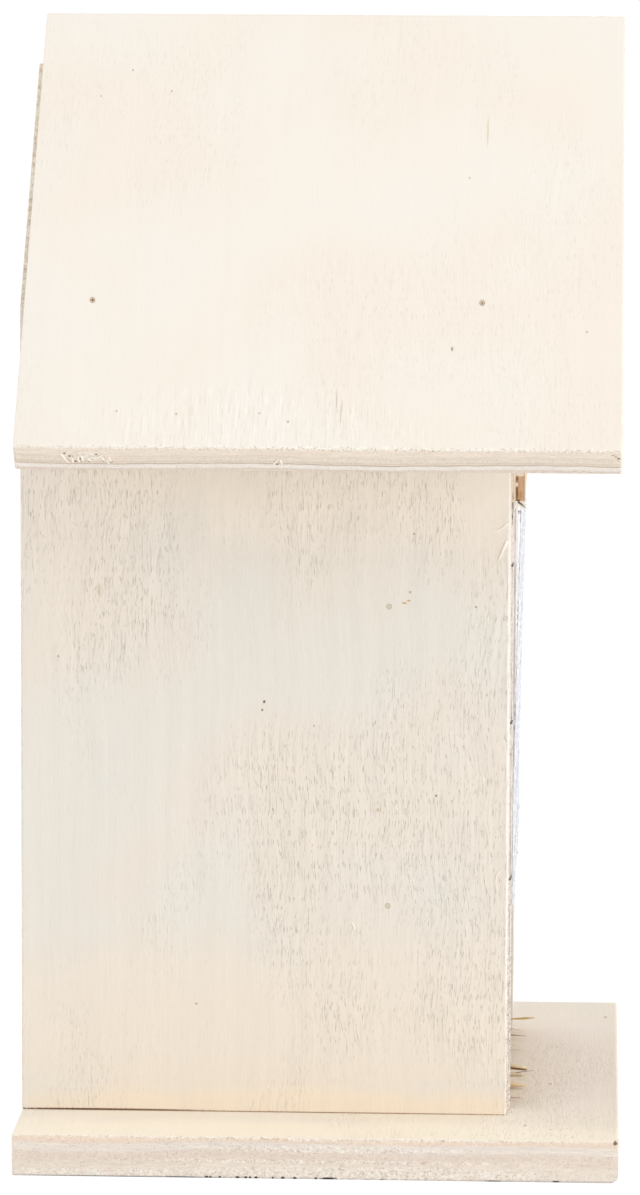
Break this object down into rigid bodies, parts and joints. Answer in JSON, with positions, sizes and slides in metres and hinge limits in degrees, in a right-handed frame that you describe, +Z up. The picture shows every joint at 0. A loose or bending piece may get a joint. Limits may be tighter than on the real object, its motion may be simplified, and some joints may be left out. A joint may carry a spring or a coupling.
{
  "type": "bee hotel",
  "caption": "Small gabled insect house of bare plywood on a base plate, filled with bamboo canes, pine cones and twigs behind wire netting.",
  "frame": {"origin": "middle of the base plate's underside", "axes": "+Z up, -Y towards the open front, +X to the right seen from the back of the picture's left side wall, so -X is the side wall that the picture shows"},
  "size_m": [0.1736, 0.13, 0.2455],
  "materials": {
    "plywood": "bare sanded plywood with pale veneer faces",
    "gable_plywood": "bare thin plywood with browned, laser-cut edges",
    "bamboo": "dry bamboo with a smooth skin and fibrous cut ends",
    "pine_cone": "dry brown woody scales",
    "twig_wood": "thin grey-brown bark with pale sawn ends",
    "straw": "dry golden straw",
    "galvanised_wire": "dull galvanised wire",
    "brad_steel": "dull steel",
    "staple_steel": "bright zinc-plated staple wire"
  },
  "bodies": {
    "root": {"base_plate": "plywood", "left_side_wall": "plywood", "right_side_wall": "plywood", "back_panel": "plywood", "lower_shelf": "plywood", "upper_shelf": "plywood", "attic_floor": "plywood", "left_roof_panel": "plywood", "right_roof_panel": "plywood", "gable_board": "gable_plywood", "wire_netting": "galvanised_wire", "straw_bed": "straw", "roof_brads": "brad_steel", "base_brads": "brad_steel", "shelf_brads": "brad_steel", "gable_brads": "brad_steel", "netting_staples": "staple_steel", "bamboo_cane_1": "bamboo", "bamboo_cane_2": "bamboo", "bamboo_cane_3": "bamboo", "bamboo_cane_4": "bamboo", "bamboo_cane_5": "bamboo", "bamboo_cane_6": "bamboo", "bamboo_cane_7": "bamboo", "bamboo_cane_8": "bamboo", "bamboo_cane_9": "bamboo", "bamboo_cane_10": "bamboo", "bamboo_cane_11": "bamboo", "bamboo_cane_12": "bamboo", "bamboo_cane_13": "bamboo", "bamboo_cane_14": "bamboo", "bamboo_cane_15": "bamboo", "bamboo_cane_16": "bamboo", "bamboo_cane_17": "bamboo", "pine_cone_1": "pine_cone", "pine_cone_2": "pine_cone", "pine_cone_3": "pine_cone", "pine_cone_4": "pine_cone", "pine_cone_5": "pine_cone", "pine_cone_6": "pine_cone", "twig_1": "twig_wood", "twig_2": "twig_wood", "twig_3": "twig_wood", "twig_4": "twig_wood", "twig_5": "twig_wood", "twig_6": "twig_wood", "twig_7": "twig_wood", "twig_8": "twig_wood", "twig_9": "twig_wood", "twig_10": "twig_wood", "twig_11": "twig_wood", "twig_12": "twig_wood", "twig_13": "twig_wood"}
  },
  "joints": []
}
